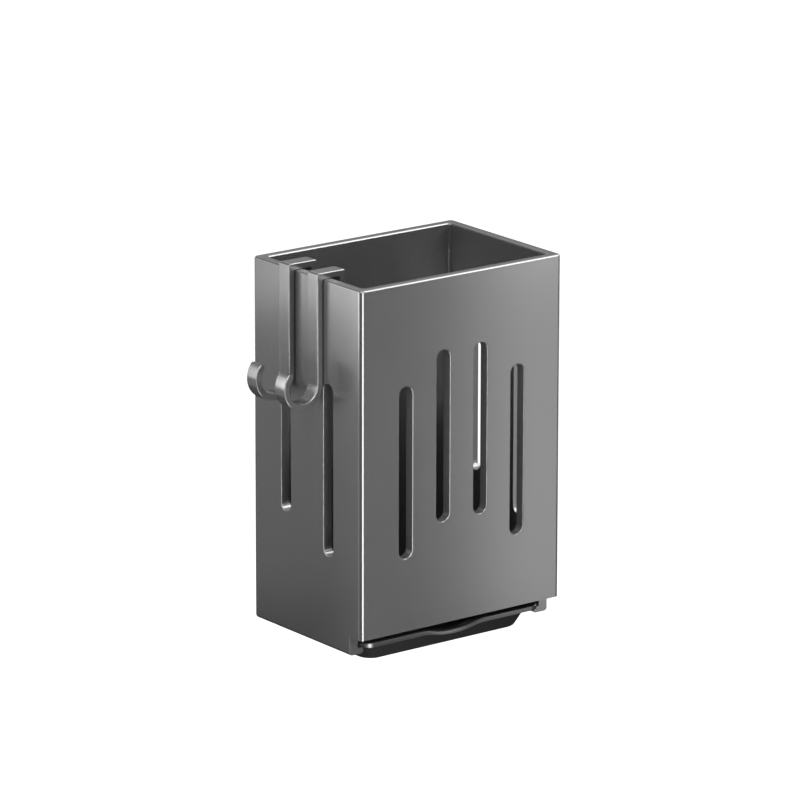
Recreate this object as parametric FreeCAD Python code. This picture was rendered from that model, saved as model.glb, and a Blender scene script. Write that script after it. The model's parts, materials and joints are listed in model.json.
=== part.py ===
import FreeCAD, Part
import math
import os

# Wall-mounted chopstick holder: an open-topped shell with slotted walls, a drain floor set inside it,
# a drip tray that pulls out under the front wall, and two loose hooks hung over the left rim.
# Millimetres. The wall plane is Y = 0 and the front faces -Y. Z is up, and the origin lies midway
# between the two keyholes in the rear wall, on the face that lies against the wall.

V = FreeCAD.Vector
UP = V(0, 0, 1)
BACK = V(0, 1, 0)
RIGHT = V(1, 0, 0)

# Shell
body_width = 85.0
body_depth = 61.0
body_height = 128.0
wall = 3.5
corner_radius = 1.5
inner_corner_radius = 1.2
rim_radius = 0.6
foot_radius = 1.2
cut_overrun = 2.0
same_place = 0.05

# Keyholes in the rear wall
keyhole_spacing = 32.0
keyhole_below_rim = 34.0
keyhole_entry_radius = 4.5
keyhole_neck_width = 4.6
keyhole_rise = 8.0

# Slots in the front and side walls
slot_width = 5.5
slot_length = 60.0
slot_above_foot = 32.4
slot_step = 10.2
slot_chamfer = 0.4
front_slot_pitch = 15.8
side_slot_pitch = 24.0

# Foot of the shell: the ledges that the drip tray slides on, and the opening in front of it
ledge_reach = 2.2
ledge_thickness = 2.2
ledge_nose_radius = 0.8
side_setback = 6.5
tray_headroom = 2.8
opening_chamfer = 0.5

# Drain floor and the ribs that carry it
floor_clearance = 0.3
floor_thickness = 2.0
floor_chamfer = 0.5
rib_reach = 1.6
rib_height = 1.6
rib_above_opening = 0.6
drain_slot_width = 3.2
drain_columns = 7
drain_rows = 2
drain_margin = 5.0
drain_bridge = 5.0

# Drip tray
tray_setback = 3.8
tray_side_clearance = 0.6
tray_rear_clearance = 0.6
tray_corner_radius = 5.0
flange_thickness = 1.7
flange_edge_radius = 0.4
flange_reach = 2.7
tray_depth = 6.5
tray_draft_deg = 23.5
tray_wall = 1.4
tray_bottom_radius = 1.0
scoop_width = 27.0
scoop_depth = 2.4
scoop_shoulder_share = 0.35

# Hooks
hook_thickness = 2.3
hook_width = 5.5
hook_chamfer = 0.4
hook_wall_gap = 0.3
hook_inner_gap = 3.3
hook_lip_length = 11.0
hook_drop = 46.3
curl_radius = 5.7
curl_past_deg = 38.0
hook_pitch = 16.0
hook_rear_shift = 1.0

# Levels and faces that the pieces share
rim_z = keyhole_below_rim
foot_z = rim_z - body_height
ledge_top_z = foot_z + ledge_thickness
flange_top_z = ledge_top_z + flange_thickness
opening_top_z = flange_top_z + tray_headroom
rib_z = opening_top_z + rib_above_opening
floor_z = rib_z + rib_height
front_y = -body_depth
side_front_y = front_y + side_setback
half_width = body_width / 2
inner_half_width = half_width - wall
tray_slope = math.tan(math.radians(tray_draft_deg))


def outline(curves):
    """Closed wire of lines and arcs given in order."""
    return Part.Wire([curve.toShape() for curve in curves])


def prism(curves, depth):
    """Solid of a closed outline drawn out along a vector."""
    return Part.Face(outline(curves)).extrude(depth)


def polygon(corners):
    """Straight sides of a closed outline through corners given in order."""
    return [Part.LineSegment(a, b) for a, b in zip(corners, corners[1:] + corners[:1])]


def box(x0, x1, y0, y1, z0, z1):
    """Plain block between two corners."""
    return Part.makeBox(x1 - x0, y1 - y0, z1 - z0, V(x0, y0, z0))


def rounded_plan(half, y0, y1, radius, z):
    """Curves of a level rectangle with round corners, centred across the holder."""
    turn = radius * (1 - math.sqrt(0.5))
    corners = [(-half, y0, 1, 1), (half, y0, -1, 1), (half, y1, -1, -1), (-half, y1, 1, -1)]
    arcs = []
    for x, y, inward_x, inward_y in corners:
        ends = [V(x, y + inward_y * radius, z), V(x + inward_x * radius, y, z)]
        if inward_x != inward_y:
            ends.reverse()
        arcs.append(Part.Arc(ends[0], V(x + inward_x * turn, y + inward_y * turn, z), ends[1]))
    curves = []
    for arc, following in zip(arcs, arcs[1:] + arcs[:1]):
        curves += [arc, Part.LineSegment(arc.EndPoint, following.StartPoint)]
    return curves


def stadium(centre, along, across, length, width):
    """Curves of a round-ended slot: along is its long way, and across its width."""
    radius = width / 2
    top = centre + along * (length / 2 - radius)
    bottom = centre - along * (length / 2 - radius)
    return [
        Part.Arc(top + across * radius, top + along * radius, top - across * radius),
        Part.LineSegment(top - across * radius, bottom - across * radius),
        Part.Arc(bottom - across * radius, bottom - along * radius, bottom + across * radius),
        Part.LineSegment(bottom + across * radius, top + across * radius),
    ]


def edges_where(shape, test):
    """Edges of a shape whose bounding box passes a test."""
    return [edge for edge in shape.Edges if test(edge.BoundBox)]


def at(*places):
    """Whether all the given places are one and the same."""
    return max(places) - min(places) < same_place


def slot_cutter(mouth, inward, across):
    """Cutter of an upright slot with a chamfered mouth, whose middle lies on a wall's outer face."""
    straight = stadium(mouth - inward * cut_overrun, UP, across, slot_length, slot_width)
    through = prism(straight, inward * (wall + 2 * cut_overrun))
    flare = 4 * slot_chamfer
    wide = stadium(mouth - inward * slot_chamfer, UP, across, slot_length + flare, slot_width + flare)
    narrow = stadium(mouth + inward * slot_chamfer, UP, across, slot_length, slot_width)
    return through.fuse(Part.makeLoft([outline(wide), outline(narrow)], True, True))


def wall_slots():
    """Cutters of all slots: the outer ones on the front and the front ones on the sides sit lower."""
    low = foot_z + slot_above_foot + slot_length / 2
    high = low + slot_step
    cutters = []
    for side in (-1, 1):
        for steps, z in ((0.5, high), (1.5, low)):
            cutters.append(slot_cutter(V(side * steps * front_slot_pitch, front_y, z), BACK, RIGHT))
        for steps, z in ((-0.5, low), (0.5, high)):
            mouth = V(side * half_width, front_y / 2 + steps * side_slot_pitch, z)
            cutters.append(slot_cutter(mouth, RIGHT * -side, BACK))
    return cutters


def keyholes():
    """Cutters of the two keyholes: a round entry with a narrow neck above it."""
    through = BACK * -(wall + 2 * cut_overrun)
    cutters = []
    for side in (-1, 1):
        entry = V(side * keyhole_spacing / 2, cut_overrun, 0)
        cutters.append(Part.makeCylinder(keyhole_entry_radius, through.Length, entry, through))
        neck_middle = entry + UP * (keyhole_rise / 2)
        neck_length = keyhole_rise + keyhole_neck_width
        cutters.append(prism(stadium(neck_middle, UP, RIGHT, neck_length, keyhole_neck_width), through))
    return cutters


def side_bar(side, points, y0):
    """Bar along a side wall, from y0 to inside the rear wall: points are (reach from the wall, z)."""
    corners = [V(side * (inner_half_width - reach), y0, z) for reach, z in points]
    return prism(polygon(corners), BACK * (-wall / 2 - y0))


def ledge(side):
    """Ledge along the foot of a side wall, with a round nose, that the tray's flange slides on."""
    root = -wall / 2
    points = [(root, foot_z), (ledge_reach, foot_z), (ledge_reach, ledge_top_z), (root, ledge_top_z)]
    bar = side_bar(side, points, side_front_y)
    nose_x = side * (inner_half_width - ledge_reach)
    return bar.makeFillet(ledge_nose_radius, edges_where(bar, lambda b: at(b.XMin, b.XMax, nose_x)
                                                         and b.YLength > side_setback))


def floor_rib(side):
    """Rib along a side wall that the drain floor sits on, with a sloping underside."""
    root = -wall / 2
    middle_z = rib_z + rib_height / 2
    points = [(root, rib_z), (0, rib_z), (rib_reach, middle_z), (rib_reach, floor_z), (root, floor_z)]
    return side_bar(side, points, front_y + wall / 2)


def foot_opening():
    """Cutter that opens the foot to the front, so that the front wall ends above the tray."""
    reach = half_width + cut_overrun
    return box(-reach, reach, front_y - cut_overrun, side_front_y, foot_z - cut_overrun, opening_top_z)


def shell():
    """Open-topped, slotted body with its foot opening, ledges, floor ribs and keyholes."""
    plan = rounded_plan(half_width, front_y, 0, corner_radius, foot_z)
    body = prism(plan, UP * body_height)
    body = body.makeFillet(foot_radius, edges_where(body, lambda b: at(b.ZMax, foot_z)))
    bore = rounded_plan(inner_half_width, front_y + wall, -wall, inner_corner_radius, foot_z - cut_overrun)
    body = body.cut(prism(bore, UP * (body_height + 2 * cut_overrun)))
    body = body.makeFillet(rim_radius, edges_where(body, lambda b: at(b.ZMin, rim_z)))
    body = body.cut(foot_opening())
    body = body.fuse([ledge(-1), ledge(1), floor_rib(-1), floor_rib(1)]).removeSplitter()
    corners = edges_where(body, lambda b: at(b.YMin, b.YMax, side_front_y) and at(b.XMin, b.XMax)
                          and at(abs(b.XMin), half_width))
    body = body.makeChamfer(opening_chamfer, corners)
    return body.cut(wall_slots() + keyholes())


def drain_floor():
    """Perforated plate that the chopsticks stand on, seated on the two ribs."""
    half = inner_half_width - floor_clearance
    y0 = front_y + wall + floor_clearance
    y1 = -wall - floor_clearance
    plate = prism(rounded_plan(half, y0, y1, inner_corner_radius, floor_z), UP * floor_thickness)
    top = edges_where(plate, lambda b: at(b.ZMin, floor_z + floor_thickness))
    plate = plate.makeChamfer(floor_chamfer, top)
    spread_x = 2 * (half - rib_reach - drain_margin) - drain_slot_width
    slot_depth = (y1 - y0 - 2 * drain_margin - (drain_rows - 1) * drain_bridge) / drain_rows
    row_pitch = slot_depth + drain_bridge
    cutters = []
    for column in range(drain_columns):
        for row in range(drain_rows):
            x = spread_x * (column / (drain_columns - 1) - 0.5)
            y = y0 + drain_margin + slot_depth / 2 + row * row_pitch
            slot = stadium(V(x, y, floor_z - cut_overrun), BACK, RIGHT, slot_depth, drain_slot_width)
            cutters.append(prism(slot, UP * (floor_thickness + 2 * cut_overrun)))
    return plate.cut(cutters)


def tray_sides(inset):
    """Half width, front and rear of the tray's flange, drawn in by an inset."""
    half = inner_half_width - tray_side_clearance - inset
    return half, front_y + tray_setback + inset, -wall - tray_rear_clearance - inset


def tray_taper(top_inset, top_z, bottom_z):
    """Block under the flange whose sides slope inwards by the tray's draft, with round corners."""
    top_half, top_y0, top_y1 = tray_sides(top_inset)
    low_half, low_y0, low_y1 = tray_sides(top_inset + (top_z - bottom_z) * tray_slope)
    width = [V(-top_half, top_y0, top_z), V(top_half, top_y0, top_z),
             V(low_half, top_y0, bottom_z), V(-low_half, top_y0, bottom_z)]
    depth = [V(-top_half, top_y0, top_z), V(-top_half, top_y1, top_z),
             V(-top_half, low_y1, bottom_z), V(-top_half, low_y0, bottom_z)]
    block = prism(polygon(width), BACK * (top_y1 - top_y0))
    block = block.common(prism(polygon(depth), RIGHT * (2 * top_half)))
    slanted = edges_where(block, lambda b: min(b.XLength, b.YLength, b.ZLength) > same_place)
    return block.makeFillet(tray_corner_radius, slanted)


def scoop_dip(y, z):
    """Three tangent arcs of the dip in the front lip: a shoulder, the hollow and the other shoulder."""
    half = scoop_width / 2
    angle = 2 * math.atan(scoop_depth / half)
    radii = half / math.sin(angle)
    shoulder = radii * scoop_shoulder_share
    hollow = radii - shoulder
    arcs = []
    for side in (-1, 1):
        middle_x = half - shoulder * math.sin(angle / 2)
        middle = V(side * middle_x, y, z - shoulder * (1 - math.cos(angle / 2)))
        join = V(side * hollow * math.sin(angle), y, z - shoulder * (1 - math.cos(angle)))
        arcs.append([V(side * half, y, z), middle, join])
    left, right = arcs
    bottom = V(0, y, z - scoop_depth)
    return [Part.Arc(*left), Part.Arc(left[2], bottom, right[2]), Part.Arc(*reversed(right))]


def scoop_prism(z_dip, z_other, y0, y1):
    """Prism between the dip at one height and either its own shape or a level line at another."""
    dip = scoop_dip(y0, z_dip)
    start, end = dip[0].StartPoint, dip[-1].EndPoint
    far_start, far_end = V(start.x, y0, z_other), V(end.x, y0, z_other)
    level = [Part.LineSegment(far_end, far_start)]
    other = level if z_other > z_dip else list(reversed(scoop_dip(y0, z_other)))
    closing = [Part.LineSegment(end, far_end)] + other + [Part.LineSegment(far_start, start)]
    edges = Part.__sortEdges__([curve.toShape() for curve in dip + closing])
    return Part.Face(Part.Wire(edges)).extrude(BACK * (y1 - y0))


def drip_tray():
    """Shallow tapered tray with a flange that slides on the ledges and a finger scoop in its front lip."""
    bottom_z = ledge_top_z - tray_depth
    outside = tray_taper(flange_reach, ledge_top_z, bottom_z)
    outside = outside.makeFillet(tray_bottom_radius, edges_where(outside, lambda b: at(b.ZMax, bottom_z)))
    half, lip_y, rear_y = tray_sides(0)
    flange = prism(rounded_plan(half, lip_y, rear_y, tray_corner_radius, ledge_top_z), UP * flange_thickness)
    flange = flange.makeFillet(flange_edge_radius, edges_where(flange, lambda b: at(b.ZMin, flange_top_z)))
    inner_y = lip_y + flange_reach + tray_wall
    tray = flange.fuse(outside)
    tray = tray.cut(scoop_prism(flange_top_z, flange_top_z + cut_overrun, lip_y - cut_overrun, inner_y))
    tray = tray.fuse(scoop_prism(flange_top_z, ledge_top_z, lip_y, inner_y)).removeSplitter()
    hollow_top = flange_top_z + cut_overrun
    hollow_inset = flange_reach + tray_wall - (hollow_top - ledge_top_z) * tray_slope
    return tray.cut(tray_taper(hollow_inset, hollow_top, bottom_z + tray_wall))


def hook(y):
    """Hook hung over the left rim: inner lip, top bar, hanging strip and an upturned curl, at depth y."""
    y0 = y - hook_width / 2
    back_x = -half_width - hook_wall_gap
    face_x = back_x - hook_thickness
    lip_x = -inner_half_width + hook_inner_gap
    end_x = lip_x + hook_thickness
    top_z = rim_z + hook_thickness
    lip_z = rim_z - hook_lip_length
    outer_radius = curl_radius + hook_thickness
    centre = V(back_x - outer_radius, y0, top_z - hook_drop + outer_radius)
    past = math.radians(curl_past_deg)
    outward = V(-math.cos(past), 0, math.sin(past))
    onward = V(math.sin(past), 0, math.cos(past))
    inner_tip = centre + outward * curl_radius
    outer_tip = centre + outward * outer_radius
    tip_end = (inner_tip + outer_tip) / 2 + onward * (hook_thickness / 2)
    lip_end = V((lip_x + end_x) / 2, y0, lip_z - hook_thickness / 2)
    corners = [V(back_x, y0, centre.z), V(back_x, y0, rim_z), V(lip_x, y0, rim_z), V(lip_x, y0, lip_z)]
    far_corners = [V(end_x, y0, lip_z), V(end_x, y0, top_z), V(face_x, y0, top_z), V(face_x, y0, centre.z)]
    curves = [Part.LineSegment(a, b) for a, b in zip(corners, corners[1:])]
    curves.append(Part.Arc(corners[-1], lip_end, far_corners[0]))
    curves += [Part.LineSegment(a, b) for a, b in zip(far_corners, far_corners[1:])]
    curves.append(Part.Arc(far_corners[-1], centre - UP * curl_radius, inner_tip))
    curves.append(Part.Arc(inner_tip, tip_end, outer_tip))
    curves.append(Part.Arc(outer_tip, centre - UP * outer_radius, corners[0]))
    strip = prism(curves, BACK * hook_width)
    bends = edges_where(strip, lambda b: at(b.ZMin, b.ZMax, top_z) and at(b.XMin, b.XMax))
    strip = strip.makeChamfer(hook_chamfer, bends)
    return strip.makeChamfer(hook_chamfer, edges_where(strip, lambda b: at(b.YMin, b.YMax)))


def build():
    """All pieces of the holder by name."""
    hooks_y = front_y / 2 + hook_rear_shift
    return {
        "shell": shell(),
        "drain_floor": drain_floor(),
        "drip_tray": drip_tray(),
        "hook_front": hook(hooks_y - hook_pitch / 2),
        "hook_rear": hook(hooks_y + hook_pitch / 2),
    }


os.makedirs("parts", exist_ok=True)
for name, piece in build().items():
    piece.exportStep("parts/" + name + ".step")
    print(name, len(piece.Solids), round(piece.Volume), piece.isValid())
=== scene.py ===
"""Looks of a wall-mounted chopstick holder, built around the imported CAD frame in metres."""

import json
import logging
import math
from dataclasses import dataclass, field
from enum import Enum, IntEnum
from typing import Any, Callable, Sequence

import bmesh
import bpy
from mathutils import Matrix, Vector

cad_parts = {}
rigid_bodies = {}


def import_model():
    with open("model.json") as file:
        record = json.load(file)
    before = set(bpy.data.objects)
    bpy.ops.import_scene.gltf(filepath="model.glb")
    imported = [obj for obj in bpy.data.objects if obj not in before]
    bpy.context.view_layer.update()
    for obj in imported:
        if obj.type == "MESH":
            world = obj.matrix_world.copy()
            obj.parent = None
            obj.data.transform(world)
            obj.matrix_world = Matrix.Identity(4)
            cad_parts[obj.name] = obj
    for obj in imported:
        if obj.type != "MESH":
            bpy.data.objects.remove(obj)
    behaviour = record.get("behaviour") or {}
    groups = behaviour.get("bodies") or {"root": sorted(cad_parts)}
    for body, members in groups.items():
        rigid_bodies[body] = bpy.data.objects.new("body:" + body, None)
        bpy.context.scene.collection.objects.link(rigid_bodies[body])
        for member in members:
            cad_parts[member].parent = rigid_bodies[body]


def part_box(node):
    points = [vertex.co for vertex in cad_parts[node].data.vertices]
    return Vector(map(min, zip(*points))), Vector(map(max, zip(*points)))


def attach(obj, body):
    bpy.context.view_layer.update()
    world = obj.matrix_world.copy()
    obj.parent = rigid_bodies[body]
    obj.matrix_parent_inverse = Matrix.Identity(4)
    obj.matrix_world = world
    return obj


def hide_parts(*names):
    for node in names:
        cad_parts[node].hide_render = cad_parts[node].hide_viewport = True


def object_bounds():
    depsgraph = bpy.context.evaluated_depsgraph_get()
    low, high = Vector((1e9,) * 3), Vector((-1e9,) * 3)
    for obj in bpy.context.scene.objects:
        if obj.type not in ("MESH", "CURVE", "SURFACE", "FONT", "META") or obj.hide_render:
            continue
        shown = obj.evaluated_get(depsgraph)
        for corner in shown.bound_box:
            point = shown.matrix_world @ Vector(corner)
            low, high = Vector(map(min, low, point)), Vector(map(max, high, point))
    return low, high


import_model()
cad_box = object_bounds()

log = logging.getLogger("chopstick_holder")
logging.basicConfig(level=logging.INFO, format="%(name)s: %(message)s")

Triple = Sequence[float]

MM = 0.001
UP = Vector((0.0, 0.0, 1.0))

# How near, straight, flat or sharp something is when it counts as such
SAME_PLACE = 0.02 * MM
SAME_POINT = SAME_PLACE / 4
STRAIGHT = 0.999
FLAT = 0.9
SHARP = math.radians(35.0)

# Settings of Blender's own tools
CIRCULAR_PROFILE = 0.5
FLAT_FACE_WEIGHT = 80
NOISE_ROUGHNESS = 0.55
MIX_FIRST, MIX_SECOND, MIX_RESULT = 6, 7, 2
WHITE = (1.0, 1.0, 1.0, 1.0)


class Axis(IntEnum):
    """An axis of the shared frame: to the right, into the wall, up."""

    X = 0
    Y = 1
    Z = 2


class Side(Enum):
    """A side of the holder seen from the front."""

    LEFT = -1
    RIGHT = 1


class Cut(Enum):
    """What a tool body does to the piece it meets."""

    TAKE_AWAY = "DIFFERENCE"
    ADD = "UNION"


class Select(Enum):
    """What edit mode selects, as the three switches of its select mode."""

    EDGES = (False, True, False)
    FACES = (False, False, True)


@dataclass(frozen=True)
class Rounding:
    """How edges are rounded: the width on each face, and the strips that make it."""

    width: float
    strips: int

    @classmethod
    def half_circle(cls, width: float, strips: int) -> "Rounding":
        """The rounding of both corners that makes half a circle of an end."""
        return cls(width / 2 - SAME_PLACE, strips)


@dataclass(frozen=True)
class EdgeView:
    """An edge as a test sees it: its two ends and the angle between its faces."""

    a: Vector
    b: Vector
    angle: float

    def on(self, axis: Axis, place: float) -> bool:
        """Whether both ends lie at a place along an axis."""
        return abs(self.a[axis] - place) < SAME_PLACE and abs(self.b[axis] - place) < SAME_PLACE

    def along(self, axis: Axis) -> bool:
        """Whether the edge runs along an axis."""
        run = self.b - self.a
        return abs(run[axis]) > STRAIGHT * run.length

    @property
    def middle(self) -> Vector:
        """The point half-way along the edge."""
        return (self.a + self.b) / 2


EdgeTest = Callable[[EdgeView], bool]
FaceTest = Callable[[Vector, Vector], bool]


class Bench:
    """One mesh piece on the bench, shaped with Blender's own tools."""

    def __init__(self, name: str, low: Triple, high: Triple) -> None:
        """Starts from a block between two corners.

        Args:
            name: The piece's name.
            low: The block's lowest corner.
            high: The block's highest corner.
        """
        self.clear()
        low, high = Vector(low), Vector(high)
        bpy.ops.mesh.primitive_cube_add(size=1.0, location=(low + high) / 2)
        bpy.ops.transform.resize(value=high - low)
        self.take_up(name)

    @staticmethod
    def clear() -> None:
        """Leaves edit mode and deselects everything."""
        if bpy.context.mode != "OBJECT":
            bpy.ops.object.mode_set(mode="OBJECT")
        bpy.ops.object.select_all(action="DESELECT")

    @staticmethod
    def settle_active(name: str) -> bpy.types.Object:
        """Names the active object and puts its place into its mesh.

        Args:
            name: The object's name.

        Returns:
            The object.
        """
        active = bpy.context.active_object
        active.name = name
        active.data.name = name
        bpy.ops.object.transform_apply(location=True, rotation=True, scale=True)
        return active

    def take_up(self, name: str) -> None:
        """Takes the active object as the piece on the bench."""
        self.piece = self.settle_active(name)

    def pick_up(self) -> None:
        """Makes the piece the only selected and active one, in object mode."""
        self.clear()
        self.piece.select_set(True)
        bpy.context.view_layer.objects.active = self.piece

    def edit(self, mode: Select) -> bmesh.types.BMesh:
        """Opens the piece in edit mode with nothing selected.

        Args:
            mode: What is selected next.

        Returns:
            The mesh in edit mode.
        """
        self.pick_up()
        bpy.ops.object.mode_set(mode="EDIT")
        bpy.context.tool_settings.mesh_select_mode = mode.value
        bpy.ops.mesh.select_all(action="DESELECT")
        return bmesh.from_edit_mesh(self.piece.data)

    def faces(self, test: FaceTest) -> None:
        """Selects the faces that pass a test.

        Args:
            test: Takes a face's middle and its normal.
        """
        mesh = self.edit(Select.FACES)
        for face in mesh.faces:
            if test(face.calc_center_median(), face.normal):
                face.select_set(True)
        mesh.select_flush(True)
        bmesh.update_edit_mesh(self.piece.data)

    def edges(self, test: EdgeTest) -> bool:
        """Selects the edges that pass a test.

        Args:
            test: Takes an edge's view.

        Returns:
            Whether any was selected.
        """
        mesh = self.edit(Select.EDGES)
        chosen = []
        for edge in mesh.edges:
            start, end = edge.verts
            if test(EdgeView(start.co, end.co, edge.calc_face_angle(0.0))):
                chosen.append(edge)
        for edge in chosen:
            edge.select_set(True)
        bmesh.update_edit_mesh(self.piece.data)
        return bool(chosen)

    def extrude(self, move: Triple) -> "Bench":
        """Draws the selected faces out by a move."""
        bpy.ops.mesh.extrude_region_move(TRANSFORM_OT_translate={"value": Vector(move)})
        return self

    def resize(self, share: Triple, centre: Triple) -> "Bench":
        """Scales what is selected about a centre."""
        bpy.ops.transform.resize(value=share, center_override=centre)
        return self

    def move(self, step: Triple) -> "Bench":
        """Moves what is selected by a step."""
        bpy.ops.transform.translate(value=step)
        return self

    def spin(self, steps: int, angle: float, centre: Triple, axis: Triple) -> "Bench":
        """Sweeps the selected face round an axis."""
        bpy.ops.mesh.spin(steps=steps, angle=angle, center=centre, axis=axis)
        return self

    def bisect(self, point: Triple, normal: Triple) -> "Bench":
        """Cuts the whole piece's faces along a plane, and takes nothing away.

        Args:
            point: A point of the plane.
            normal: The plane's normal.

        Returns:
            The bench.
        """
        self.edit(Select.FACES)
        bpy.ops.mesh.select_all(action="SELECT")
        bpy.ops.mesh.bisect(plane_co=point, plane_no=normal)
        return self

    def round_edges(self, rounding: Rounding, test: EdgeTest) -> "Bench":
        """Rounds the sharp edges that pass a test.

        Args:
            rounding: Its width and strips.
            test: Takes an edge's view.

        Returns:
            The bench.
        """
        if self.edges(lambda e: e.angle > SHARP and test(e)):
            bpy.ops.mesh.bevel(offset_type="OFFSET", offset=rounding.width, segments=rounding.strips,
                               profile=CIRCULAR_PROFILE, affect="EDGES", clamp_overlap=True,
                               loop_slide=False)
        return self

    def merge(self) -> "Bench":
        """Merges doubled points and turns all faces outwards.

        Returns:
            The bench.
        """
        self.edit(Select.FACES)
        bpy.ops.mesh.select_all(action="SELECT")
        bpy.ops.mesh.remove_doubles(threshold=SAME_POINT)
        bpy.ops.mesh.normals_make_consistent(inside=False)
        return self

    def tool(self, other: "Bench", cut: Cut) -> "Bench":
        """Adds or takes away another body, which is used up.

        Args:
            other: The tool body.
            cut: What it does.

        Returns:
            The bench.
        """
        self.pick_up()
        modifier = self.piece.modifiers.new("tool", "BOOLEAN")
        modifier.operation = cut.value
        modifier.solver = "EXACT"
        modifier.object = other.piece
        bpy.ops.object.modifier_apply(modifier=modifier.name)
        bpy.data.objects.remove(other.piece)
        return self

    def copy_to(self, moves: Sequence[Triple]) -> "Bench":
        """Puts a copy with its own mesh at each move, and joins the copies in place of the first.

        Args:
            moves: Where each copy goes, from where the piece is.

        Returns:
            The bench.
        """
        name = self.piece.name
        for step in moves:
            self.pick_up()
            bpy.ops.object.duplicate()
            bpy.ops.transform.translate(value=step)
        self.clear()
        bpy.data.objects.remove(self.piece)
        copies = [item for item in bpy.context.scene.objects if item.name.startswith(name)]
        for item in copies:
            item.select_set(True)
        bpy.context.view_layer.objects.active = copies[0]
        bpy.ops.object.join()
        self.take_up(name)
        return self

    def twin(self, name: str, step: Triple) -> bpy.types.Object:
        """Copies the finished piece to another place.

        Args:
            name: The copy's name.
            step: Where it goes, from where the piece is.

        Returns:
            The copy, with a mesh of its own.
        """
        self.pick_up()
        bpy.ops.object.duplicate()
        bpy.ops.transform.translate(value=step)
        copy = self.settle_active(name)
        self.clear()
        return copy

    def finish(self) -> bpy.types.Object:
        """Merges, smooths the roundings and keeps the flat faces flat.

        Returns:
            The finished piece.
        """
        self.merge()
        self.pick_up()
        bpy.ops.object.shade_smooth_by_angle(angle=SHARP, keep_sharp_edges=False)
        modifier = self.piece.modifiers.new("flat_faces", "WEIGHTED_NORMAL")
        modifier.keep_sharp = True
        modifier.weight = FLAT_FACE_WEIGHT
        bpy.ops.object.modifier_apply(modifier=modifier.name)
        self.clear()
        return self.piece


class Value:
    """A value inside a node graph: operators on it add the nodes that work it out."""

    def __init__(self, graph: "NodeGraph", socket: bpy.types.NodeSocket) -> None:
        """Wraps a node's output socket."""
        self.graph = graph
        self.socket = socket

    def _math(self, operation: str, other: Any) -> "Value":
        """Adds one Math node."""
        return self.graph.node("ShaderNodeMath", {"operation": operation}, {0: self, 1: other})

    def __add__(self, other: Any) -> "Value":
        """Sum."""
        return self._math("ADD", other)

    __radd__ = __add__

    def __mul__(self, other: Any) -> "Value":
        """Product."""
        return self._math("MULTIPLY", other)

    __rmul__ = __mul__


class NodeGraph:
    """The nodes of a material or of the studio's surroundings, made one by one."""

    def __init__(self, tree: bpy.types.NodeTree, surface: str, output: str) -> None:
        """Starts with one shader that feeds the output.

        Args:
            tree: The node tree, which is emptied first.
            surface: The shader node's type.
            output: The output node's type.
        """
        self.tree = tree
        tree.nodes.clear()
        self.surface = tree.nodes.new(surface)
        end = tree.nodes.new(output)
        tree.links.new(self.surface.outputs[0], end.inputs["Surface"])

    def node(self, kind: str, settings: dict[str, Any], inputs: dict[Any, Any], output: Any = 0) -> Value:
        """Adds a node.

        Args:
            kind: The node's type.
            settings: Its own settings, set first. A ramp's stops are a list under "stops".
            inputs: Values or links of its sockets, by name or number.
            output: The output that is used, by name or number.

        Returns:
            That output's value.
        """
        made = self.tree.nodes.new(kind)
        for key, setting in settings.items():
            if key == "stops":
                self.set_stops(made.color_ramp, setting)
            else:
                setattr(made, key, setting)
        for key, value in inputs.items():
            self.feed(made.inputs[key], value)
        return Value(self, made.outputs[output])

    @staticmethod
    def set_stops(ramp: bpy.types.ColorRamp, stops: Sequence[tuple[float, float]]) -> None:
        """Sets a ramp's stops.

        Args:
            ramp: The ramp.
            stops: Places from 0 to 1, and how bright the grey is there.
        """
        while len(ramp.elements) < len(stops):
            ramp.elements.new(0.5)
        for element, (place, level) in zip(ramp.elements, stops):
            element.position = place
            element.color = (level, level, level, 1.0)

    def feed(self, socket: bpy.types.NodeSocket, value: Any) -> None:
        """Links a value to a socket, or sets the socket to a number or colour.

        Args:
            socket: The socket that is fed.
            value: A value of the graph, a number or a colour.
        """
        if isinstance(value, Value):
            self.tree.links.new(value.socket, socket)
        else:
            socket.default_value = value

    def set(self, **inputs: Any) -> None:
        """Feeds the shader's sockets, named in small letters with _ for a space."""
        for key, value in inputs.items():
            self.feed(self.surface.inputs[key.replace("_", " ").title().replace("Ior", "IOR")], value)


class Shader(NodeGraph):
    """A material's nodes."""

    def __init__(self, name: str) -> None:
        """Starts an empty material with a Principled shader.

        Args:
            name: The material's name.
        """
        self.material = bpy.data.materials.new(name)
        self.material.use_nodes = True
        super().__init__(self.material.node_tree, "ShaderNodeBsdfPrincipled", "ShaderNodeOutputMaterial")

    def noise(self, size: float, detail: float = 2.0) -> Value:
        """Noise from 0 to 1 on Object coordinates, with patches about a size across, in metres."""
        here = self.node("ShaderNodeTexCoord", {}, {}, "Object")
        return self.node("ShaderNodeTexNoise", {}, {"Vector": here, "Scale": 1.0 / size, "Detail": detail,
                                                     "Roughness": NOISE_ROUGHNESS})

    def blend(self, share: Value, first: Triple, second: Triple) -> Value:
        """Mixes two colours by a share."""
        return self.node("ShaderNodeMix", {"data_type": "RGBA"},
                         {"Factor": share, MIX_FIRST: (*first, 1.0), MIX_SECOND: (*second, 1.0)}, MIX_RESULT)

    def bump(self, height: Value, depth: float) -> Value:
        """Normal of a surface with a height map of a depth in metres."""
        return self.node("ShaderNodeBump", {}, {"Strength": 1.0, "Distance": depth, "Height": height})


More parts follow.
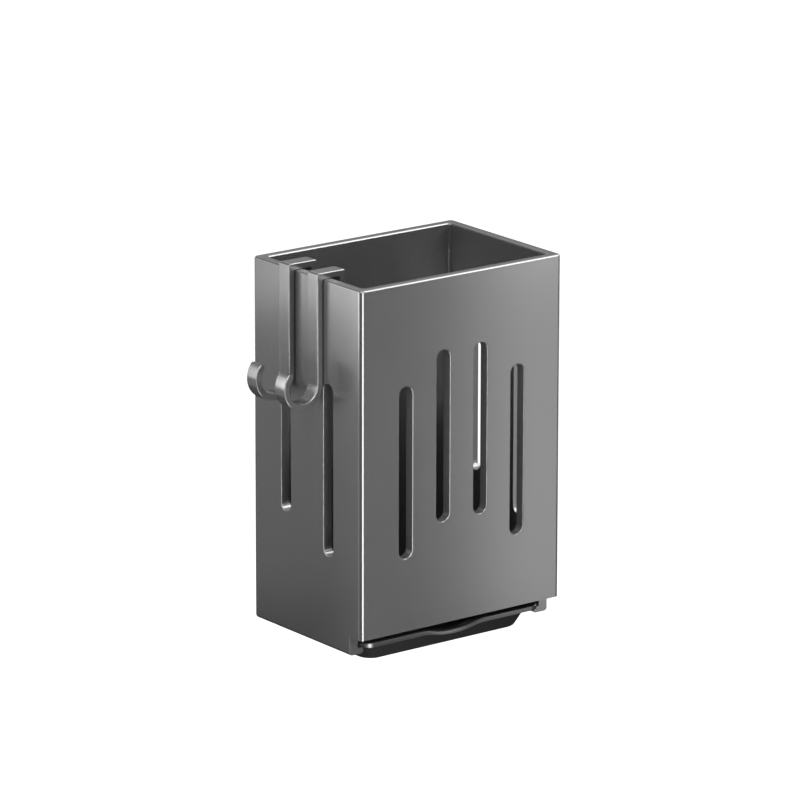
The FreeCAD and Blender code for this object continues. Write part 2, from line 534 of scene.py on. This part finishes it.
class Sky(NodeGraph):
    """The studio's surroundings, whose brightness changes with the height of the view."""

    def __init__(self, name: str, stops: Sequence[tuple[float, float]]) -> None:
        """Makes the surroundings.

        Args:
            name: Their name.
            stops: Heights, from 0 straight down to 1 straight up, and how bright it is there.
        """
        self.world = bpy.data.worlds.new(name)
        self.world.use_nodes = True
        super().__init__(self.world.node_tree, "ShaderNodeBackground", "ShaderNodeOutputWorld")
        towards = self.node("ShaderNodeTexCoord", {}, {}, "Generated")
        height = self.node("ShaderNodeSeparateXYZ", {}, {0: towards}, "Z")
        level = self.node("ShaderNodeValToRGB", {"stops": stops}, {0: height * 0.5 + 0.5})
        self.set(color=level, strength=1.0)


@dataclass(frozen=True)
class SatinMetal:
    """Sprayed satin metal: a fine grain over a dark, even tone."""

    name: str
    dark: Triple
    light: Triple
    roughness: float
    metal_share: float = 0.85
    grain: float = 0.22 * MM
    grain_detail: float = 3.0
    grain_depth: float = 0.0003 * MM
    grain_dulling: float = 0.05
    cloud: float = 22.0 * MM
    cloud_share: float = 0.7
    cloud_dulling: float = 0.03

    def material(self) -> bpy.types.Material:
        """Makes the material.

        Returns:
            The material.
        """
        shader = Shader(self.name)
        grain = shader.noise(self.grain, self.grain_detail)
        cloud = shader.noise(self.cloud)
        tone = cloud * self.cloud_share + grain * (1.0 - self.cloud_share)
        smoothest = self.roughness - (self.grain_dulling + self.cloud_dulling) / 2
        shader.set(base_color=shader.blend(tone, self.dark, self.light), metallic=self.metal_share,
                   roughness=smoothest + grain * self.grain_dulling + cloud * self.cloud_dulling,
                   normal=shader.bump(grain, self.grain_depth))
        return shader.material


@dataclass(frozen=True)
class MouldedPlastic:
    """Moulded plastic with a fine spark-eroded texture."""

    name: str
    dark: Triple
    light: Triple
    roughness: float
    gloss: float
    ior: float = 1.5
    grain: float = 0.3 * MM
    grain_detail: float = 4.0
    grain_depth: float = 0.001 * MM
    grain_dulling: float = 0.1
    cloud: float = 15.0 * MM
    cloud_share: float = 0.5

    def material(self) -> bpy.types.Material:
        """Makes the material.

        Returns:
            The material.
        """
        shader = Shader(self.name)
        grain = shader.noise(self.grain, self.grain_detail)
        cloud = shader.noise(self.cloud)
        tone = cloud * self.cloud_share + grain * (1.0 - self.cloud_share)
        smoothest = self.roughness - self.grain_dulling / 2
        shader.set(base_color=shader.blend(tone, self.dark, self.light), metallic=0.0,
                   roughness=smoothest + grain * self.grain_dulling, specular_ior_level=self.gloss,
                   ior=self.ior, normal=shader.bump(grain, self.grain_depth))
        return shader.material


@dataclass(frozen=True)
class StagePaper:
    """White studio paper with a faint tooth, lit through from below."""

    name: str
    tone: float
    glow: float
    tone_spread: float = 0.02
    tooth: float = 2.0 * MM
    roughness: float = 0.9

    def material(self) -> bpy.types.Material:
        """Makes the material.

        Returns:
            The material.
        """
        shader = Shader(self.name)
        low, high = (self.tone - self.tone_spread,) * 3, (self.tone,) * 3
        shader.set(base_color=shader.blend(shader.noise(self.tooth), low, high), roughness=self.roughness,
                   emission_color=WHITE, emission_strength=self.glow)
        return shader.material


GUNMETAL = SatinMetal("satin_gunmetal", dark=(0.205, 0.205, 0.208), light=(0.225, 0.225, 0.228),
                      roughness=0.24)
HOOK_METAL = SatinMetal("satin_hook_metal", dark=(0.225, 0.225, 0.228), light=(0.245, 0.245, 0.248),
                        roughness=0.22)
TRAY_PLASTIC = MouldedPlastic("moulded_tray_plastic", dark=(0.009, 0.009, 0.0095),
                              light=(0.013, 0.013, 0.0135), roughness=0.32, gloss=0.65, ior=2.0)
FLOOR_PLASTIC = MouldedPlastic("moulded_floor_plastic", dark=(0.02, 0.02, 0.0205),
                               light=(0.028, 0.028, 0.0285), roughness=0.5, gloss=0.3)
PAPER = StagePaper("studio_paper", tone=0.9, glow=0.75)


def settle(piece: bpy.types.Object, body: str, node: str,
           material: bpy.types.Material) -> None:
    """Gives a finished piece its finish and its body, and hides the CAD node that it stands for.

    Args:
        piece: The piece.
        body: The CAD body that it rides on.
        node: The CAD node that it replaces.
        material: The finish.
    """
    piece.data.materials.clear()
    piece.data.materials.append(material)
    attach(piece, body)
    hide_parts(node)
    log.info("%s: %d faces on %s", piece.name, len(piece.data.polygons), body)


@dataclass
class Shell:
    """The slotted body with its foot opening, ledges, ribs and keyholes."""

    low: Vector = field(default_factory=lambda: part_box("shell")[0])
    high: Vector = field(default_factory=lambda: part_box("shell")[1])
    wall: float = 3.5 * MM
    corner: Rounding = Rounding(1.5 * MM, 6)
    inner_corner: Rounding = Rounding(1.2 * MM, 5)
    rim_round: Rounding = Rounding(0.6 * MM, 3)
    foot_round: Rounding = Rounding(1.2 * MM, 5)
    overrun: float = 2.0 * MM
    slot_width: float = 5.5 * MM
    slot_length: float = 60.0 * MM
    slot_end_strips: int = 10
    slot_above_foot: float = 32.4 * MM
    slot_step: float = 10.2 * MM
    slot_round: Rounding = Rounding(0.4 * MM, 3)
    front_pitch: float = 15.8 * MM
    side_pitch: float = 24.0 * MM
    opening_height: float = 6.7 * MM
    opening_round: Rounding = Rounding(0.3 * MM, 2)
    leg_round: Rounding = Rounding(0.9 * MM, 3)
    side_setback: float = 6.5 * MM
    ledge_reach: float = 2.2 * MM
    ledge_height: float = 2.2 * MM
    ledge_round: Rounding = Rounding(0.8 * MM, 4)
    rib_low: float = 7.3 * MM
    rib_high: float = 8.9 * MM
    rib_reach: float = 1.6 * MM
    keyhole_x: float = 16.0 * MM
    entry_radius: float = 4.5 * MM
    entry_strips: int = 12
    neck_width: float = 4.6 * MM
    neck_strips: int = 8
    keyhole_rise: float = 8.0 * MM
    keyhole_band: float = 20.0 * MM
    keyhole_round: Rounding = Rounding(0.3 * MM, 2)

    @property
    def leg_y(self) -> float:
        """Where the side walls and the ledges begin at the foot."""
        return self.low.y + self.side_setback

    @property
    def opening_z(self) -> float:
        """The top of the opening in front of the tray."""
        return self.low.z + self.opening_height

    def tube(self) -> Bench:
        """Models the open-ended box with its round corners.

        Returns:
            The box.
        """
        bench = Bench("shell_body", self.low, self.high)
        bench.round_edges(self.corner, lambda e: e.along(Axis.Z))
        bench.round_edges(self.foot_round, lambda e: e.on(Axis.Z, self.low.z))
        inside = Vector((self.wall, self.wall, -self.overrun))
        bore = Bench("bore", self.low + inside, self.high - inside)
        bore.round_edges(self.inner_corner, lambda e: e.along(Axis.Z))
        return bench.tool(bore, Cut.TAKE_AWAY)

    def slot_tool(self, name: str, across: Axis, through: Axis) -> Bench:
        """Models a round-ended slot's tool body at the origin.

        Args:
            name: The tool's name.
            across: The axis of the slot's width.
            through: The axis that goes through the wall.

        Returns:
            The tool body.
        """
        half = Vector((self.wall, self.wall, self.slot_length / 2))
        half[across] = self.slot_width / 2
        bench = Bench(name, -half, half)
        ends = Rounding.half_circle(self.slot_width, self.slot_end_strips)
        return bench.round_edges(ends, lambda e: e.along(through))

    def slot_places(self) -> tuple[list[Vector], list[Vector]]:
        """Works out where the slots' middles are, in steps of a pitch from the wall's middle.

        Returns:
            The places in the front wall, and those in the side walls.
        """
        low_z = self.low.z + self.slot_above_foot + self.slot_length / 2
        high_z = low_z + self.slot_step
        front_y = self.low.y + self.wall / 2
        middle_y = (self.low.y + self.high.y) / 2
        front, sides = [], []
        for side in Side:
            for steps, z in ((0.5, high_z), (1.5, low_z)):
                front.append(Vector((side.value * steps * self.front_pitch, front_y, z)))
            for steps, z in ((-0.5, low_z), (0.5, high_z)):
                x = side.value * (self.high.x - self.wall / 2)
                sides.append(Vector((x, middle_y + steps * self.side_pitch, z)))
        return front, sides

    def bar(self, name: str, side: Side, reach: float, z0: float, z1: float, y0: float) -> Bench:
        """Models a bar along a side wall, rooted in the side and rear walls.

        Args:
            name: The bar's name.
            side: The wall that it runs along.
            reach: How far it stands out from the wall.
            z0: Its underside above the foot.
            z1: Its top above the foot.
            y0: Its front end.

        Returns:
            The bar.
        """
        inner = self.high.x - self.wall
        xs = sorted((side.value * (inner - reach), side.value * (inner + self.wall / 2)))
        low = (xs[0], y0, self.low.z + z0)
        high = (xs[1], self.high.y - self.wall / 2, self.low.z + z1)
        return Bench(name, low, high)

    def keyhole_tools(self) -> list[Bench]:
        """Models the tool bodies of the keyholes.

        Returns:
            A round entry and a narrow neck for each keyhole.
        """
        tools = []
        deep = self.wall + self.overrun
        wide, thin = self.entry_radius, self.neck_width / 2
        entry_round = Rounding.half_circle(2 * wide, self.entry_strips)
        neck_round = Rounding.half_circle(2 * thin, self.neck_strips)
        for side in Side:
            x = side.value * self.keyhole_x
            entry = Bench("entry", (x - wide, -deep, -wide), (x + wide, deep, wide))
            entry.round_edges(entry_round, lambda e: e.along(Axis.Y))
            neck = Bench("neck", (x - thin, -deep, 0.0), (x + thin, deep, self.keyhole_rise + thin))
            neck.round_edges(neck_round, lambda e: e.along(Axis.Y) and e.middle.z > self.keyhole_rise)
            tools += [entry, neck]
        return tools

    def build(self) -> bpy.types.Object:
        """Models the shell.

        Returns:
            The finished shell.
        """
        bench = self.tube()
        for side in Side:
            ledge = self.bar("ledge", side, self.ledge_reach, SAME_PLACE, self.ledge_height, self.leg_y)
            nose = side.value * (self.high.x - self.wall - self.ledge_reach)
            ledge.round_edges(self.ledge_round, lambda e: e.along(Axis.Y) and e.on(Axis.X, nose))
            bench.tool(ledge, Cut.ADD)
            rib = self.bar("rib", side, self.rib_reach, self.rib_low, self.rib_high,
                           self.low.y + self.wall / 2)
            bench.tool(rib, Cut.ADD)
        mouth_low = [place - self.overrun for place in self.low]
        mouth = Bench("mouth", mouth_low, (self.high.x + self.overrun, self.leg_y, self.opening_z))
        bench.tool(mouth, Cut.TAKE_AWAY)
        front, sides = self.slot_places()
        bench.tool(self.slot_tool("tool_front", Axis.X, Axis.Y).copy_to(front), Cut.TAKE_AWAY)
        bench.tool(self.slot_tool("tool_side", Axis.Y, Axis.X).copy_to(sides), Cut.TAKE_AWAY)
        for tool in self.keyhole_tools():
            bench.tool(tool, Cut.TAKE_AWAY)
        bench.merge()
        self.round_off(bench)
        return bench.finish()

    def round_off(self, bench: Bench) -> None:
        """Rounds the rim, the slots' mouths, the foot and the keyholes' mouths.

        Args:
            bench: The shell.
        """
        bench.round_edges(self.rim_round, lambda e: e.on(Axis.Z, self.high.z))
        for axis, place in ((Axis.Y, self.low.y), (Axis.X, self.low.x), (Axis.X, self.high.x)):
            bench.round_edges(self.slot_round, lambda e: e.on(axis, place) and self.among_slots(e))
        bench.round_edges(self.leg_round, lambda e: e.along(Axis.Z) and e.on(Axis.Y, self.leg_y)
                          and abs(abs(e.middle.x) - self.high.x) < SAME_PLACE)
        bench.round_edges(self.opening_round, lambda e: e.on(Axis.Z, self.opening_z)
                          and e.middle.y < self.leg_y - SAME_PLACE and not e.along(Axis.Y))
        bench.round_edges(self.keyhole_round, lambda e: e.on(Axis.Y, self.high.y) and self.near_keyhole(e))

    def among_slots(self, edge: EdgeView) -> bool:
        """Whether an edge is as high up as the slots are."""
        low = self.low.z + self.slot_above_foot - self.overrun
        return low < edge.middle.z < low + self.slot_length + self.slot_step + 2 * self.overrun

    def near_keyhole(self, edge: EdgeView) -> bool:
        """Whether an edge lies close round a keyhole."""
        aside = abs(abs(edge.middle.x) - self.keyhole_x)
        return aside < 2 * self.entry_radius and abs(edge.middle.z) < self.keyhole_band

    def dress(self, piece: bpy.types.Object) -> None:
        """Gives the shell its finish and its body."""
        settle(piece, "holder", "shell", GUNMETAL.material())


@dataclass
class DrainFloor:
    """The perforated plate that the chopsticks stand on."""

    low: Vector = field(default_factory=lambda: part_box("drain_floor")[0])
    high: Vector = field(default_factory=lambda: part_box("drain_floor")[1])
    corner: Rounding = Rounding(1.2 * MM, 4)
    top_round: Rounding = Rounding(0.5 * MM, 3)
    slot_round: Rounding = Rounding(0.35 * MM, 2)
    slot_width: float = 3.2 * MM
    slot_end_strips: int = 8
    rows: int = 2
    columns: int = 7
    side_margin: float = 6.6 * MM
    margin: float = 5.0 * MM
    bridge: float = 5.0 * MM
    overrun: float = 1.0 * MM

    @property
    def slot_length(self) -> float:
        """The length that the margins and bridges leave to a slot."""
        return (self.high.y - self.low.y - 2 * self.margin - (self.rows - 1) * self.bridge) / self.rows

    def build(self) -> bpy.types.Object:
        """Models the plate with its round-ended drain slots.

        Returns:
            The finished plate.
        """
        bench = Bench("drain_grille", self.low, self.high)
        bench.round_edges(self.corner, lambda e: e.along(Axis.Z))
        bench.round_edges(self.top_round, lambda e: e.on(Axis.Z, self.high.z))
        deep = (self.high.z - self.low.z) / 2 + self.overrun
        half = Vector((self.slot_width / 2, self.slot_length / 2, deep))
        slot = Bench("tool_drain", -half, half)
        ends = Rounding.half_circle(self.slot_width, self.slot_end_strips)
        slot.round_edges(ends, lambda e: e.along(Axis.Z))
        bench.tool(slot.copy_to(self.places()), Cut.TAKE_AWAY)
        bench.merge()
        bench.round_edges(self.slot_round, lambda e: e.on(Axis.Z, self.high.z))
        return bench.finish()

    def places(self) -> list[Vector]:
        """Works out where the slots' middles are.

        Returns:
            The places, row by row.
        """
        reach = self.high.x - self.side_margin - self.slot_width / 2
        first_y = self.low.y + self.margin + self.slot_length / 2
        xs = [reach * (2 * column / (self.columns - 1) - 1) for column in range(self.columns)]
        ys = [first_y + row * (self.slot_length + self.bridge) for row in range(self.rows)]
        z = (self.low.z + self.high.z) / 2
        return [Vector((x, y, z)) for y in ys for x in xs]

    def dress(self, piece: bpy.types.Object) -> None:
        """Gives the plate its finish and its body."""
        settle(piece, "holder", "drain_floor", FLOOR_PLASTIC.material())


@dataclass
class DripTray:
    """The shallow tray on its sliding flange, with a finger scoop in the front lip."""

    low: Vector = field(default_factory=lambda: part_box("drip_tray")[0])
    high: Vector = field(default_factory=lambda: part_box("drip_tray")[1])
    flange_thickness: float = 1.7 * MM
    flange_reach: float = 2.7 * MM
    slope: float = math.tan(math.radians(23.5))
    wall: float = 1.4 * MM
    corner: Rounding = Rounding(5.0 * MM, 9)
    bottom_round: Rounding = Rounding(1.0 * MM, 4)
    edge_round: Rounding = Rounding(0.7 * MM, 3)
    root: float = 0.5 * MM
    overrun: float = 2.0 * MM
    scoop_half: float = 13.5 * MM
    scoop_depth: float = 1.5 * MM
    shoulder_share: float = 0.35
    scoop_cuts: int = 24
    scoop_flare: float = 1.3

    @property
    def flange_z(self) -> float:
        """The flange's underside."""
        return self.high.z - self.flange_thickness

    def sides(self, inset: float) -> tuple[float, float, float]:
        """Half width, front and rear of the flange, drawn in by an inset."""
        return self.high.x - inset, self.low.y + inset, self.high.y - inset

    def taper(self, name: str, inset: float, top_z: float, bottom_z: float) -> Bench:
        """Models a block whose sides slope inwards to its bottom, with round corners.

        Args:
            name: The block's name.
            inset: How far its top is drawn in from the flange.
            top_z: Its top.
            bottom_z: Its bottom.

        Returns:
            The block.
        """
        half, y0, y1 = self.sides(inset)
        low_half, low_y0, low_y1 = self.sides(inset + (top_z - bottom_z) * self.slope)
        bench = Bench(name, (-half, y0, bottom_z), (half, y1, top_z))
        bench.faces(lambda middle, normal: normal.z < -FLAT)
        share = (low_half / half, (low_y1 - low_y0) / (y1 - y0), 1.0)
        bench.resize(share, (0.0, (y0 + y1) / 2, bottom_z))
        bench.round_edges(self.corner, lambda e: abs(e.a.z - e.b.z) > SAME_PLACE)
        bench.round_edges(self.bottom_round, lambda e: e.on(Axis.Z, bottom_z))
        return bench

    def build(self) -> bpy.types.Object:
        """Models the tray.

        Returns:
            The finished tray.
        """
        bench = Bench("tray_body", (self.low.x, self.low.y, self.flange_z), self.high)
        bench.round_edges(self.corner, lambda e: e.along(Axis.Z))
        inset = self.flange_reach - self.root * self.slope
        bench.tool(self.taper("under", inset, self.flange_z + self.root, self.low.z), Cut.ADD)
        above = self.high.z + self.overrun
        inset = self.flange_reach + self.wall - (above - self.flange_z) * self.slope
        bench.tool(self.taper("hollow", inset, above, self.low.z + self.wall), Cut.TAKE_AWAY)
        bench.merge()
        bench.round_edges(self.edge_round, lambda e: e.on(Axis.Z, self.high.z))
        self.scoop(bench)
        return bench.finish()

    def scoop(self, bench: Bench) -> None:
        """Bends the front lip down into the finger scoop and flares the rounding of its edge there.

        Args:
            bench: The tray.
        """
        step = 2 * self.scoop_half / self.scoop_cuts
        cuts = [index * step - self.scoop_half for index in range(self.scoop_cuts + 1)]
        for x in cuts:
            bench.bisect((x, 0.0, 0.0), (1.0, 0.0, 0.0))
        for x in cuts[1:-1]:
            flare = 1.0 + self.scoop_flare * self.dip(x) / self.scoop_depth
            bench.edges(lambda e: e.on(Axis.X, x) and self.on_lip_edge(e.a) and self.on_lip_edge(e.b))
            bench.resize((1.0, flare, flare), (x, self.low.y, self.high.z))
            bench.edges(lambda e: e.on(Axis.X, x) and self.on_lip(e.a) and self.on_lip(e.b))
            bench.move((0.0, 0.0, -self.dip(x)))

    def dip(self, x: float) -> float:
        """Works out how deep the scoop is: a hollow arc between two shoulder arcs.

        Args:
            x: A place across the lip.

        Returns:
            The depth there.
        """
        angle = 2 * math.atan(self.scoop_depth / self.scoop_half)
        radii = self.scoop_half / math.sin(angle)
        shoulder = radii * self.shoulder_share
        hollow = radii - shoulder
        from_end = self.scoop_half - abs(x)
        if abs(x) < hollow * math.sin(angle):
            return self.scoop_depth - hollow + math.sqrt(hollow ** 2 - x ** 2)
        return shoulder - math.sqrt(shoulder ** 2 - from_end ** 2)

    def on_lip(self, point: Vector) -> bool:
        """Whether a point belongs to the front lip."""
        inner_y = self.low.y + self.flange_reach + self.wall
        return point.y < inner_y and point.z > self.flange_z - SAME_PLACE

    def on_lip_edge(self, point: Vector) -> bool:
        """Whether a point belongs to the rounding of the front lip's upper edge."""
        edge_y, edge_z = self.low.y + self.edge_round.width, self.high.z - self.edge_round.width
        return point.y < edge_y + SAME_PLACE and point.z > edge_z - SAME_PLACE

    def dress(self, piece: bpy.types.Object) -> None:
        """Gives the tray its finish and its body."""
        settle(piece, "drip_tray", "drip_tray", TRAY_PLASTIC.material())


@dataclass
class RimHook:
    """A bent metal strip that hangs over the left rim, with an upturned curl."""

    low: Vector = field(default_factory=lambda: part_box("hook_front")[0])
    high: Vector = field(default_factory=lambda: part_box("hook_front")[1])
    thickness: float = 2.3 * MM
    curl_radius: float = 5.7 * MM
    curl_past: float = math.radians(38.0)
    curl_steps: int = 44
    lip_length: float = 12.15 * MM
    end_strips: int = 6
    bend_round: Rounding = Rounding(0.8 * MM, 4)
    bend_inner_round: Rounding = Rounding(0.5 * MM, 3)
    edge_round: Rounding = Rounding(0.42 * MM, 3)

    @property
    def rim_z(self) -> float:
        """The rim that the top bar lies on."""
        return self.high.z - self.thickness

    def build(self) -> Bench:
        """Models the front hook: strip, top bar, inner lip and curl.

        Returns:
            The bench with the finished hook.
        """
        outer = self.curl_radius + self.thickness
        centre = Vector((self.low.x + outer, 0.0, self.low.z + outer))
        face_x, back_x = centre.x + self.curl_radius, centre.x + outer
        lip_x = self.high.x - self.thickness
        bench = Bench("rim_hook_front", (face_x, self.low.y, centre.z), (back_x, self.high.y, self.rim_z))
        bench.faces(lambda middle, normal: normal.z > FLAT)
        bench.extrude((0.0, 0.0, self.thickness))
        bench.faces(lambda middle, normal: normal.x > FLAT and middle.z > self.rim_z)
        bench.extrude((lip_x - back_x, 0.0, 0.0)).extrude((self.thickness, 0.0, 0.0))
        bench.faces(lambda middle, normal: normal.z < -FLAT and middle.x > lip_x)
        bench.extrude((0.0, 0.0, -self.lip_length))
        bench.faces(lambda middle, normal: normal.z < -FLAT and abs(middle.z - centre.z) < SAME_PLACE)
        bench.spin(self.curl_steps, math.pi + self.curl_past, centre, (0.0, -1.0, 0.0))
        onward = Vector((math.sin(self.curl_past), 0.0, math.cos(self.curl_past)))
        bench.extrude(onward * (self.thickness / 2))
        bench.merge()
        self.round_off(bench, centre, onward)
        bench.finish()
        return bench

    def round_off(self, bench: Bench, centre: Vector, onward: Vector) -> None:
        """Rounds the tip, the lip's end, the bends and the long edges.

        Args:
            bench: The hook.
            centre: The curl's centre.
            onward: The way that the curl's tip points.
        """
        end_round = Rounding(self.thickness / 2 - 2 * SAME_PLACE, self.end_strips)
        at_tip = self.thickness / 2 - SAME_PLACE
        lip_end = self.rim_z - self.lip_length
        bench.round_edges(end_round, lambda e: e.along(Axis.Y) and e.middle.x < centre.x
                          and (e.middle - centre).dot(onward) > at_tip)
        bench.round_edges(end_round, lambda e: e.along(Axis.Y) and e.on(Axis.Z, lip_end))
        bench.round_edges(self.bend_round, lambda e: e.along(Axis.Y) and e.on(Axis.Z, self.high.z))
        bench.round_edges(self.bend_inner_round, lambda e: e.along(Axis.Y) and e.on(Axis.Z, self.rim_z))
        bench.round_edges(self.edge_round, lambda e: e.on(Axis.Y, self.low.y) or e.on(Axis.Y, self.high.y))

    def dress(self, bench: Bench) -> None:
        """Copies the hook to the rear place and gives both their finish and bodies.

        Args:
            bench: The bench with the finished front hook.
        """
        metal = HOOK_METAL.material()
        rear = bench.twin("rim_hook_rear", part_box("hook_rear")[0] - self.low)
        settle(bench.piece, "hook_front", "hook_front", metal)
        settle(rear, "hook_rear", "hook_rear", metal)


@dataclass(frozen=True)
class SoftBox:
    """A soft box that the camera doesn't see.

    It hangs at its place and faces its aim. Its size is its width and height, and its glow is
    how bright its face is, as a share of white paper in full light.
    """

    name: str
    place: Triple
    aim: Triple
    size: tuple[float, float]
    glow: float

    def hang(self) -> None:
        """Hangs the box."""
        lamp = bpy.data.lights.new(self.name, "AREA")
        lamp.shape = "RECTANGLE"
        lamp.size, lamp.size_y = self.size
        lamp.energy = self.glow * math.pi * self.size[0] * self.size[1]
        stand = bpy.data.objects.new(self.name, lamp)
        bpy.context.scene.collection.objects.link(stand)
        stand.location = self.place
        stand.rotation_euler = (Vector(self.aim) - Vector(self.place)).to_track_quat("-Z", "Y").to_euler()
        stand.visible_camera = False


@dataclass
class Studio:
    """Floor, lights and camera."""

    lens: float = 267.228
    sensor: float = 36.0
    clip_end: float = 100.0
    camera_place: Triple = (-1.181019, -1.577179, 0.530293)
    yaw: float = math.radians(37.2943)
    pitch: float = math.radians(15.7071)
    roll: float = math.radians(0.1079)
    sky: tuple[tuple[float, float], ...] = ((0.42, 0.000), (0.5, 0.282), (0.75, 0.282), (0.85, 0.450))
    boxes: tuple[SoftBox, ...] = (
        SoftBox("front_top", (0.150, -0.253, 0.180), (0.004, -0.061, 0.248), (0.1, 0.14), 6.60),
        SoftBox("front_top_right", (0.250, -0.253, 0.180), (0.104, -0.061, 0.248), (0.1, 0.14), 8.00),
        SoftBox("left_low", (-0.188, 0.040, -0.100), (-0.043, -0.151, -0.032), (0.09, 0.14), 0.74),
        SoftBox("left_high", (-0.188, 0.040, 0.040), (-0.043, -0.151, 0.108), (0.09, 0.14), 5.00),
        SoftBox("left_high_rear", (-0.188, 0.130, 0.040), (-0.043, -0.061, 0.108), (0.09, 0.14), 1.46),
        SoftBox("left_low_rear", (-0.188, 0.220, -0.100), (-0.043, 0.029, -0.032), (0.09, 0.14), 0.32),
        SoftBox("over_right_front", (0.187, -0.116, 0.279), (0.000, -0.030, 0.034), (0.24, 0.24), 5.35),
        SoftBox("over_left_front", (-0.176, -0.174, 0.258), (0.000, -0.030, 0.034), (0.24, 0.24), 6.00),
        SoftBox("over_right_rear", (0.160, 0.130, 0.258), (0.000, -0.030, 0.034), (0.24, 0.24), 1.00),
        SoftBox("front_strip_low", (0.190, -0.253, -0.240), (0.044, -0.061, -0.172), (0.05, 0.14), 0.74),
        SoftBox("front_strip_middle", (0.190, -0.253, -0.100), (0.044, -0.061, -0.032), (0.05, 0.14), 1.70),
        SoftBox("front_strip_high", (0.190, -0.253, 0.040), (0.044, -0.061, 0.108), (0.05, 0.14), 2.15),
        SoftBox("corner_strip", (-0.056, -0.140, -0.052), (-0.043, -0.061, -0.052), (0.034, 0.19), 9.26),
        SoftBox("right_side", (0.36, 0.05, 0.02), (0.04, -0.03, -0.03), (0.30, 0.34), 1.5),
        SoftBox("rear_side", (0.05, 0.42, 0.02), (0.0, 0.0, -0.03), (0.34, 0.34), 1.8),
    )
    floor_drop: float = 0.2
    floor_reach: float = 12.0

    def floor(self) -> None:
        """Lays the pale floor well under the holder, which hangs."""
        Bench.clear()
        place = (0.0, 0.0, cad_box[0].z - self.floor_drop)
        bpy.ops.mesh.primitive_plane_add(size=2 * self.floor_reach, location=place)
        floor = bpy.context.active_object
        floor.name = "studio_floor"
        floor.data.materials.append(PAPER.material())
        floor.visible_glossy = False

    def lights(self) -> None:
        """Sets soft studio light all round, with soft boxes near the two faces that show."""
        bpy.context.scene.world = Sky("studio", self.sky).world
        for box in self.boxes:
            box.hang()

    def camera(self) -> None:
        """Sets the camera at the photograph's viewing angle."""
        data = bpy.data.cameras.new("camera")
        data.lens = self.lens
        data.sensor_width = self.sensor
        data.clip_end = self.clip_end
        camera = bpy.data.objects.new("camera", data)
        bpy.context.scene.collection.objects.link(camera)
        flat = math.cos(self.pitch)
        ahead = Vector((math.sin(self.yaw) * flat, math.cos(self.yaw) * flat, -math.sin(self.pitch)))
        level = ahead.cross(UP).normalized()
        over = level.cross(ahead)
        right = math.cos(self.roll) * level + math.sin(self.roll) * over
        above = math.cos(self.roll) * over - math.sin(self.roll) * level
        turn = Matrix((right, above, -ahead)).transposed().to_4x4()
        camera.matrix_world = Matrix.Translation(self.camera_place) @ turn
        bpy.context.scene.camera = camera

    def build(self) -> None:
        """Sets up the whole studio."""
        self.floor()
        self.lights()
        self.camera()
        bpy.context.scene.view_settings.view_transform = "Standard"


def main() -> None:
    """Builds every piece in order."""
    Studio().build()
    for assembly in (Shell(), DrainFloor(), DripTray(), RimHook()):
        assembly.dress(assembly.build())


if __name__ == "__main__":
    main()
